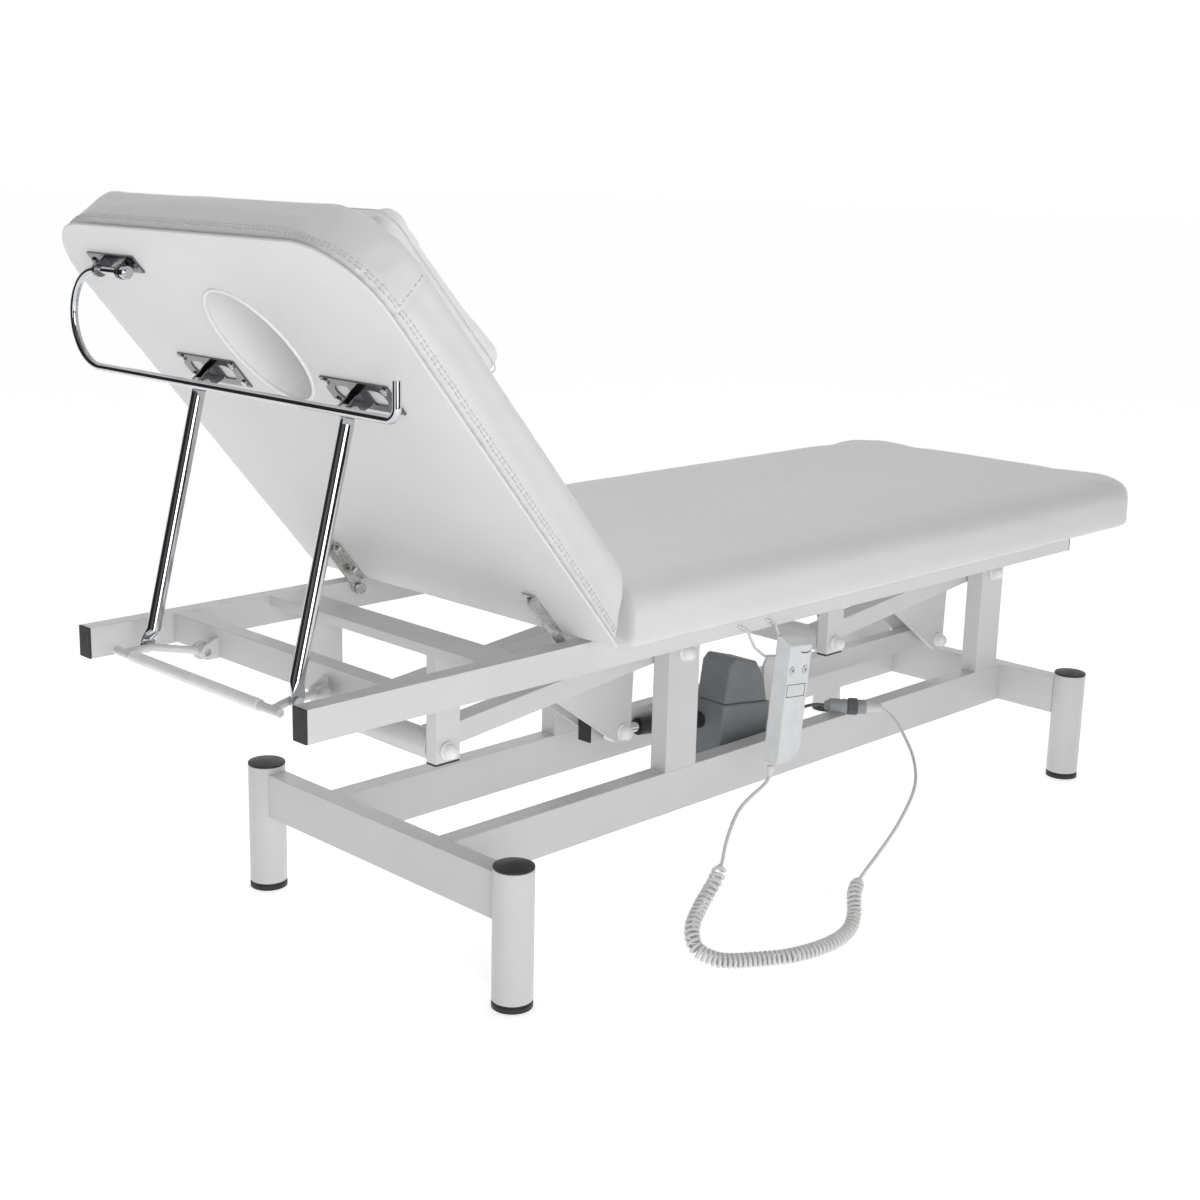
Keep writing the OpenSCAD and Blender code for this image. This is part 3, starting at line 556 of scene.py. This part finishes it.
def inflate(obj, held, cap):
    """Presses the cover out from inside, with held vertices fixed and no point moving past cap."""
    start = [v.co.copy() for v in obj.data.vertices]
    group = obj.vertex_groups.new(name="held")
    group.add([i for i, co in enumerate(start) if held(co)], 1.0, "REPLACE")
    cloth = obj.modifiers.new("cloth", "CLOTH")
    cloth.settings.quality = 4
    cloth.settings.mass = 0.4
    cloth.settings.tension_stiffness = 30
    cloth.settings.compression_stiffness = 30
    cloth.settings.bending_stiffness = 2
    cloth.settings.vertex_group_mass = "held"
    cloth.settings.use_pressure = True
    cloth.settings.uniform_pressure_force = PRESSURE
    cloth.settings.effector_weights.gravity = 0
    cloth.collision_settings.use_collision = False
    cloth.point_cache.frame_start = 1
    cloth.point_cache.frame_end = SIM_FRAMES
    scene = bpy.context.scene
    for number in range(1, SIM_FRAMES + 1):
        scene.frame_set(number)
    mesh = evaluated_mesh(obj)
    moved = [v.co.copy() for v in mesh.vertices]
    obj.modifiers.clear()
    obj.vertex_groups.clear()
    scene.frame_set(1)
    for vertex, a, b in zip(obj.data.vertices, start, moved):
        shift = b - a
        vertex.co = a + shift * min(1.0, cap / max(shift.length, 1e-9))
    bpy.data.meshes.remove(mesh)


def subdivided(obj):
    obj.modifiers.new("smooth", "SUBSURF").levels = 1
    bake_modifiers(obj)


def push(obj, amount):
    """Moves each vertex along its normal by amount(point, normal)."""
    for vertex, normal in [(v, v.normal.copy()) for v in obj.data.vertices]:
        vertex.co += normal * amount(vertex.co, normal)


def slack(point, normal):
    """The slow unevenness of leather cloth pulled over foam."""
    return 0.0007 * noise.noise(point * 11) + 0.00035 * noise.noise(point * 31)


def upholster(obj, voxel, held, cap, amount, turns=4):
    remeshed(obj, voxel)
    inflate(obj, held, cap)
    relaxed(obj, turns)
    subdivided(obj)
    push(obj, amount)


def rounded_rings(outline_at, low, high, low_round, high_round):
    """Rings from a flat low face up a rounded side to a flat high face."""
    rings = []
    for i in range(ROUND_RINGS + 1):
        a = math.pi / 2 * i / ROUND_RINGS
        rings.append((outline_at(low_round * (1 - math.sin(a)), low),
                      low + low_round * (1 - math.cos(a))))
    for i in range(ROUND_RINGS + 1):
        a = math.pi / 2 * i / ROUND_RINGS
        rings.append((outline_at(high_round * (1 - math.cos(a)), high),
                      high - high_round * (1 - math.sin(a))))
    return rings


# Seat
SEAT_X = (-0.431, 0.887)
SEAT_HALF, SEAT_CORNER = 0.320, 0.095
SEAT_Z = (0.450, 0.531)
SWELL = 0.003


def seat_outline(inset, height):
    inset += SWELL
    return panel(SEAT_X[0] + 0.3 * inset, SEAT_X[1] - inset, SEAT_HALF - inset,
                 SEAT_CORNER - inset)


seat = slab("seat_pad", rounded_rings(seat_outline, SEAT_Z[0] + 0.001, SEAT_Z[1] - 0.003,
                                      0.014, 0.026), on_seat)
upholster(seat, 0.008, lambda co: co.z < SEAT_Z[0] + 0.006, 0.006, slack)
dress(seat, "leatherette")
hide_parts("seat_cushion")
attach(seat, "bed_frame")


# Backrest: the wrapped board behind, the pad before it, and the seam between them
BACK_U = (0.014, 0.672)
BACK_HALF, BACK_CORNER = 0.315, 0.100
BACK_V = (0.0105, 0.0905)
COVER_T = 0.004
HOLE_AT, HOLE_A, HOLE_B = 0.493, 0.091, 0.074
BOXING_U = BACK_U[1] - BACK_CORNER - 0.004  # the seams across the sides


def plumb_edge(v):
    """Where the backrest's foot end is cut plumb, so that it clears the seat."""
    return (v * math.sin(RECLINE) - SEAT_GAP) / math.cos(RECLINE)


def back_outline(inset, v):
    inset += SWELL / 2
    return panel(BACK_U[0] + inset, BACK_U[1] - inset, BACK_HALF - inset, BACK_CORNER - inset)


def back_rings(low, high, low_round, high_round):
    rings = []
    for outline, v in rounded_rings(back_outline, low, high, low_round, high_round):
        foot = plumb_edge(v) + SWELL
        rings.append(([(max(u, foot + (u - BACK_U[0] - SWELL) * 0.2), y) if u < 0.12 else (u, y)
                       for u, y in outline], v))
    return rings


def hole_wall(low, high, low_round, high_round):
    wall = []
    for outline_inset, v in [(low_round, low), (0.3 * low_round, low + 0.3 * low_round),
                             (0, low + low_round), (0, high - high_round),
                             (0.3 * high_round, high - 0.3 * high_round), (high_round, high)]:
        wall.append((ellipse(HOLE_AT, HOLE_A + outline_inset, HOLE_B + outline_inset), v))
    return wall


pad_v = (BACK_V[0] + COVER_T, BACK_V[1] - 0.002)
back = slab("back_pad", back_rings(*pad_v, 0.002, 0.014), on_back,
            [hole_wall(*pad_v, 0.003, 0.012)])


def back_held(co):
    """The foam is glued to the board and to the lining of the face hole."""
    local = co - HINGE
    out_of_hole = ((local.dot(ALONG) - HOLE_AT) / HOLE_A) ** 2 + (local.y / HOLE_B) ** 2
    depth = local.dot(OUT)
    return depth < pad_v[0] + 0.006 or (out_of_hole < 1.1 and depth < pad_v[1] - 0.008)


def back_pucker(co, normal):
    """Slack cloth, drawn in at the boxing seams beside the two top corners."""
    local = co - HINGE
    u, y = local.dot(ALONG), abs(local.y)
    seam = max(0.0, 1 - abs(u - BOXING_U) / 0.006) if y > BACK_HALF - 0.03 else 0.0
    near_back = max(0.0, 1 - (local.dot(OUT) - pad_v[0]) / 0.02)
    gather = 0.0008 * near_back * math.sin(u * 330 + 2 * math.sin(u * 41)) if y > 0.28 else 0.0
    return slack(co, normal) - 0.0014 * seam + gather


upholster(back, 0.007, back_held, 0.004, back_pucker, turns=8)
dress(back, "leatherette")
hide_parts("back_cushion")
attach(back, "backrest")

cover_v = (BACK_V[0] + 0.0002, BACK_V[0] + COVER_T - 0.0004)
cover = slab("back_cover", back_rings(*cover_v, 0.002, 0.001), on_back,
             [hole_wall(*cover_v, 0.002, 0.001)])
dress(cover, "leatherette")
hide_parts("back_board")
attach(cover, "backrest")

seat_under_z = (SEAT_Z[0] + 0.0002, SEAT_Z[0] + 0.004)
seat_under = slab("seat_cover", [(seat_outline(0.030, 0), z) for z in seat_under_z], on_seat)
dress(seat_under, "leatherette")
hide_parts("seat_board")
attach(seat_under, "bed_frame")


# Pillow
PILLOW_U, PILLOW_LONG, PILLOW_HALF = 0.380, 0.250, 0.265
PILLOW_V = (0.0915, 0.1395)
PILLOW_TAPER = 0.24


def pillow_outline(inset, height):
    """A rectangle with all four corners rounded."""
    inset += SWELL
    middle, corner = PILLOW_U + PILLOW_LONG / 2, 0.028 - inset
    half = panel(middle, PILLOW_U + PILLOW_LONG - inset, PILLOW_HALF - inset, corner)[:-SIDE_POINTS]
    return half + [(2 * middle - u, y) for u, y in reversed(half[1:])]


def on_pillow(u, y, v):
    """The pillow is thinner towards the head end."""
    share = 1.04 - PILLOW_TAPER * (u - PILLOW_U) / PILLOW_LONG
    return on_back(u, y, PILLOW_V[0] + (v - PILLOW_V[0]) * share)


pillow = slab("pillow_pad", rounded_rings(pillow_outline, PILLOW_V[0] + 0.001, PILLOW_V[1] - 0.003,
                                          0.012, 0.012), on_pillow)
upholster(pillow, 0.005, lambda co: (co - HINGE).dot(OUT) < PILLOW_V[0] + 0.003, 0.006, slack)
dress(pillow, "leatherette", FINISHES["pillow"])
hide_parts("pillow")
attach(pillow, "neck_pillow")


def tube(name, line, radius, body, slot_name, finish=None):
    """A closed round welt along a closed line."""
    vertices, faces = [], []
    count, sides = len(line), 10
    middle = sum(line, Vector()) / count
    for i, point in enumerate(line):
        ahead = (line[(i + 1) % count] - line[i - 1]).normalized()
        side = point - middle
        side = (side - side.dot(ahead) * ahead).normalized()
        for k in range(sides):
            t = 2 * math.pi * k / sides
            vertices.append(point + radius * (math.cos(t) * side
                                              + math.sin(t) * ahead.cross(side)))
    for i in range(count):
        for k in range(sides):
            j, a, b = (k + 1) % sides, i * sides, (i + 1) % count * sides
            faces.append([a + k, a + j, b + j, b + k])
    obj = add_mesh(name, vertices, faces)
    dress(obj, slot_name, finish)
    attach(obj, body)


WELT = 0.0028
tube("face_hole_welt", [on_back(u, y, BACK_V[0] + 0.0008) for u, y in
                        ellipse(HOLE_AT, HOLE_A - 0.001, HOLE_B - 0.001)],
     WELT, "backrest", "leatherette", FINISHES["pillow"])


def make_liner():
    """The turned-in lining of the face hole, gathered where it follows the oval."""
    vertices, faces, rows, count = [], [], 10, 192
    for r in range(rows):
        v = BACK_V[0] + 0.001 + (BACK_V[1] - BACK_V[0] - 0.012) * r / (rows - 1)
        for i in range(count):
            t = 2 * math.pi * i / count
            fold = 0.0007 * noise.noise(Vector((i * 0.35 + math.cos(t), r * 0.25, 3)))
            shrink = 0.0030 + fold
            vertices.append(on_back(HOLE_AT + (HOLE_A - shrink) * math.cos(t),
                                    (HOLE_B - shrink) * math.sin(t), v))
    for r in range(rows - 1):
        for i in range(count):
            j = (i + 1) % count
            faces.append([r * count + i, r * count + j, (r + 1) * count + j, (r + 1) * count + i])
    liner = add_mesh("face_hole_liner", vertices, faces)
    # The lining takes the paler leather, painted light against the shade inside the face hole.
    dress(liner, "leatherette", LINER_PAINTED_LIGHT)
    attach(liner, "backrest")


make_liner()
pillow_waist = [on_pillow(u, y, (PILLOW_V[0] + PILLOW_V[1]) / 2)
                for u, y in pillow_outline(-SWELL + 0.0004, 0)]
tube("pillow_welt", pillow_waist, 0.0009, "neck_pillow", "leatherette", FINISHES["pillow"])


# ---- seams and stitching ----

def surface_of(obj):
    return BVHTree.FromPolygons([v.co.copy() for v in obj.data.vertices],
                                [tuple(p.vertices) for p in obj.data.polygons])


STITCH_PITCH, STITCH_LONG, STITCH_THICK = 0.0075, 0.0056, 0.0011
STITCH_PROFILE = [(-0.5, 0.25), (-0.3, 0.85), (0, 1), (0.3, 0.85), (0.5, 0.25)]  # along, thick
STITCH_SIDES = 6
OUTSET = 0.004  # lines are drawn this far outside the cushion, then dropped onto it
BOXING_POINTS = 8


def stitches(name, obj, lines, body):
    """Short threads laid end to end along lines, on the surface of obj."""
    surface = surface_of(obj)
    vertices, faces = [], []
    for line in lines:
        points = spaced(line, STITCH_PITCH)
        for a, b in zip(points, points[1:]):
            place, normal, _, _ = surface.find_nearest((a + b) / 2)
            ahead = (b - a).normalized()
            side = normal.cross(ahead).normalized()
            start = len(vertices)
            for at, size in STITCH_PROFILE:
                for k in range(STITCH_SIDES):
                    t = 2 * math.pi * k / STITCH_SIDES
                    vertices.append(place + ahead * at * STITCH_LONG + size * STITCH_THICK * (
                        math.cos(t) * side + (math.sin(t) + 0.15) * normal))
            end = len(vertices) - STITCH_SIDES
            for ring in range(start, end, STITCH_SIDES):
                for k in range(STITCH_SIDES):
                    j = (k + 1) % STITCH_SIDES
                    faces.append([ring + k, ring + j,
                                  ring + STITCH_SIDES + j, ring + STITCH_SIDES + k])
            faces.append([start + k for k in reversed(range(STITCH_SIDES))])
            faces.append([end + k for k in range(STITCH_SIDES)])
    made = add_mesh(name, vertices, faces)
    dress(made, "leatherette", THREAD)
    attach(made, body)


def edge_line(v):
    """Round the backrest's side and top at height v, from one foot corner to the other."""
    half, u0 = BACK_HALF + OUTSET, max(BACK_U[0], plumb_edge(v)) + 0.006
    line = panel(u0, BACK_U[1] + OUTSET, half, BACK_CORNER + OUTSET)
    turn = max(i for i, (u, y) in enumerate(line) if y > 0 and u > u0 + 0.01)
    return [on_back(u, y, v) for u, y in line[:turn + 1]]


def boxing_line(side):
    """Across the backrest's side, just above the boxing seam."""
    return [on_back(BOXING_U + 0.004, side * (BACK_HALF + OUTSET),
                    BACK_V[0] + 0.014 + 0.055 * i / BOXING_POINTS)
            for i in range(BOXING_POINTS + 1)]


stitches("back_stitching", back, [edge_line(pad_v[0] + 0.007), edge_line(pad_v[0] + 0.0125),
                                  boxing_line(-1), boxing_line(1)], "backrest")


# ---- marks on the hand control ----

HANDSET_AT = Vector((-0.0445, -0.274 + MID_Y, 0.295))
HANDSET_LEAN = math.radians(6.2)
KEY_X, KEY_Z, KEY_OUT = 0.0145, 0.050, 0.0012
MARK = 0.0005


def on_handset(x, y, z):
    """A point of the hand control: across its face, in from it, and up it."""
    c, s = math.cos(HANDSET_LEAN), math.sin(HANDSET_LEAN)
    return HANDSET_AT + Vector((x * c + z * s, y, z * c - x * s))


def mark(name, loops, face, body, slot_name, closed=True, wide=0.0007):
    """Thin raised lines along the loops, on the face at depth y."""
    vertices, faces = [], []
    for loop in loops:
        for (ax, az), (bx, bz) in zip(loop, loop[1:] + (loop[:1] if closed else [])):
            long = math.hypot(bx - ax, bz - az)
            ux, uz = (bx - ax) / long * wide / 2, (bz - az) / long * wide / 2
            corners = [(ax - ux - uz, az - uz + ux), (ax - ux + uz, az - uz - ux),
                       (bx + ux + uz, bz + uz - ux), (bx + ux - uz, bz + uz + ux)]
            start = len(vertices)
            vertices += [on_handset(x, face - MARK / 2, z) for x, z in corners]
            vertices += [on_handset(x, face + MARK / 2, z) for x, z in corners]
            faces += [[start + k for k in quad] for quad in
                      ((0, 1, 2, 3), (7, 6, 5, 4), (0, 4, 5, 1), (1, 5, 6, 2), (2, 6, 7, 3),
                       (3, 7, 4, 0))]
    obj = add_mesh(name, vertices, faces, smooth=False)
    dress(obj, slot_name, PRINT)
    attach(obj, body)


def triangle(x, z, size, up):
    return [(x + size * math.cos(t), z + up * size * math.sin(t))
            for t in (math.radians(90 + 120 * i) for i in range(3))]


mark("key_up_mark", [triangle(-KEY_X, KEY_Z, 0.0024, 1)], -KEY_OUT, "key_up", "key_grey")
mark("key_down_mark", [triangle(KEY_X, KEY_Z, 0.0024, -1)], -KEY_OUT, "key_down", "key_grey")
mark("label_frame", [[(-0.022, 0.011), (0.019, 0.011), (0.019, 0.029), (-0.022, 0.029)]],
     0, "bed_frame", "handset_white", wide=0.0009)
mark("top_slot", [[(0.001, 0.0765), (0.008, 0.0750), (0.015, 0.0750), (0.022, 0.0765)]],
     0, "bed_frame", "handset_white", closed=False, wide=0.0016)

bpy.context.view_layer.update()


# ---- floor and light ----

FLOOR_HALF = 40
FLOOR_GLOW = 0.56
NEAR_SIDE = (-0.72, -0.62, 0.05)  # towards the camera's side of the room
ROOM_STRENGTH = 1.05
ROOM_SHADES = [(0.0, 1.0), (0.30, 0.80), (0.50, 0.34), (0.70, 0.14)]  # far side to near side


def add_floor():
    """A pale floor, which glows so that it comes out as even as the photograph's."""
    half = FLOOR_HALF
    floor = add_mesh("floor", [(-half, -half, -0.0005), (half, -half, -0.0005),
                               (half, half, -0.0005), (-half, half, -0.0005)], [(0, 1, 2, 3)],
                     smooth=False)
    s = Shader("floor", (0.90, 0.90, 0.90), Roughness=0.85, Specular_IOR_Level=0.1,
               Emission_Color=(1, 1, 1, 1), Emission_Strength=FLOOR_GLOW)
    floor.data.materials.append(s.mottle(s.noise(2, 3), 0.99).material)


def add_area(name, at, towards, size, power):
    light = bpy.data.lights.new(name, "AREA")
    light.shape = "DISK"
    light.size = size
    light.energy = power
    obj = bpy.data.objects.new(name, light)
    obj.location = at
    obj.rotation_euler = (Vector(towards) - Vector(at)).to_track_quat("-Z", "Y").to_euler()
    bpy.context.collection.objects.link(obj)


def add_world():
    """A plain room, brightest behind the bed and darkest on the camera's side."""
    world = bpy.data.worlds.new("room")
    world.use_nodes = True
    tree = world.node_tree
    background = tree.nodes["Background"]
    direction = tree.nodes.new("ShaderNodeTexCoord").outputs["Generated"]
    dot = tree.nodes.new("ShaderNodeVectorMath")
    dot.operation = "DOT_PRODUCT"
    dot.inputs[1].default_value = Vector(NEAR_SIDE).normalized()
    share = tree.nodes.new("ShaderNodeMapRange")
    share.inputs["From Min"].default_value = -1
    ramp = tree.nodes.new("ShaderNodeValToRGB")
    ramp.color_ramp.interpolation = "EASE"
    stops = ramp.color_ramp.elements
    while len(stops) < len(ROOM_SHADES):
        stops.new(0.5)
    for stop, (at, shade) in zip(stops, ROOM_SHADES):
        stop.position = at
        stop.color = (shade, shade, shade, 1)
    tree.links.new(direction, dot.inputs[0])
    tree.links.new(dot.outputs["Value"], share.inputs["Value"])
    tree.links.new(share.outputs["Result"], ramp.inputs["Fac"])
    tree.links.new(ramp.outputs["Color"], background.inputs["Color"])
    background.inputs["Strength"].default_value = ROOM_STRENGTH
    bpy.context.scene.world = world


def add_card(name, centre, facing, width, height):
    """A black card that shows in reflections only, for the dark lines along the plated tubes.

    It is neither a light nor a backdrop.
    """
    side = Vector((-facing[1], facing[0], 0)).normalized() * width / 2
    up = Vector((0, 0, height / 2))
    centre = Vector(centre)
    card = add_mesh(name, [centre - side - up, centre + side - up, centre + side + up,
                           centre - side + up], [(0, 1, 2, 3)], smooth=False)
    s = Shader(name, (0.01, 0.01, 0.01), Roughness=0.9)
    card.data.materials.append(s.mottle(s.noise(2, 2), 0.9).material)
    card.visible_camera = card.visible_diffuse = card.visible_shadow = False
    card.visible_transmission = False


add_floor()
add_area("key", (-1.9, -2.9, 1.1), (-0.3, 0, 0.6), 1.8, 40)
add_area("side", (-3.4, 0.9, 1.0), (-0.3, 0, 0.6), 1.8, 3)
add_area("overhead", (-0.2, 0.4, 3.2), (0, 0, 0.5), 2.0, 14)
add_card("near_card", (-3.0, -2.6, 1.4), (1, 0.9), 2.6, 2.8)
add_card("side_card", (0.3, -3.2, 1.2), (0.1, 1), 3.4, 2.6)
add_card("head_card", (-2.2, 1.2, 1.2), (1, -0.4), 2.4, 2.4)
add_world()
bpy.context.scene.view_settings.view_transform = "Standard"
